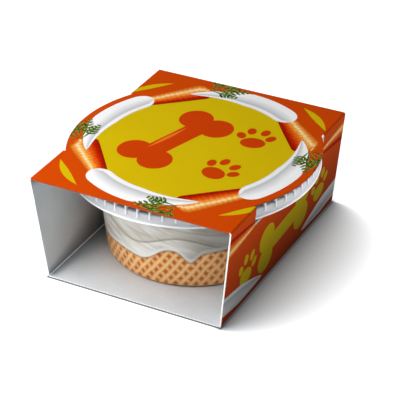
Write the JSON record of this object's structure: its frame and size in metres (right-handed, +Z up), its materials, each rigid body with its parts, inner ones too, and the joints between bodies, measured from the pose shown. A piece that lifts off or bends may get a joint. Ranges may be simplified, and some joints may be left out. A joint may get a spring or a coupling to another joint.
{
  "type": "sleeved yogurt pot",
  "caption": "Low round plastic pot of yogurt for dogs, shut by a ribbed lid and held by its rim in an open-ended printed board sleeve with round tabs.",
  "frame": {"origin": "on the surface the sleeve stands on, at the middle of the bounding box", "axes": "+Z up; X across the sleeve from its left wall to its right wall; the open front end faces -Y and the open back end +Y"},
  "size_m": [0.097, 0.096, 0.042],
  "materials": {
    "printed_board": "satin coated print outside, bare grey-white board inside",
    "printed_plastic": "smooth plastic wall printed with cream over waffle",
    "milky_plastic": "milky, slightly see-through moulded plastic"
  },
  "bodies": {
    "root": {"sleeve": "printed_board", "cup": "printed_plastic", "lid": "milky_plastic"}
  },
  "joints": []
}
